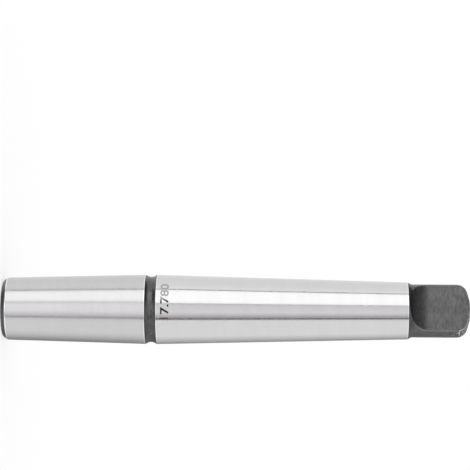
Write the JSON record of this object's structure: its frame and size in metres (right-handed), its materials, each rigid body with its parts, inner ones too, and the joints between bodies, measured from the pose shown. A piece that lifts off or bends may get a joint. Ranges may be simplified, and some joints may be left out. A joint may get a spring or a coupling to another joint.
{
  "type": "drill chuck arbor",
  "caption": "One-piece steel arbor with a tanged Morse taper shank, a relief neck and a short B taper nose that carries a drill chuck.",
  "frame": {"origin": "centre of the nose's end face, on the axis", "axes": "+Z along the axis, from the nose's end face to the tang's end; the tang's flats face +Y and -Y"},
  "size_m": [0.018, 0.018, 0.1213],
  "materials": {
    "steel": "ground on both tapers, blackened where only turned or milled"
  },
  "bodies": {
    "root": {"arbor": "steel"}
  },
  "joints": []
}
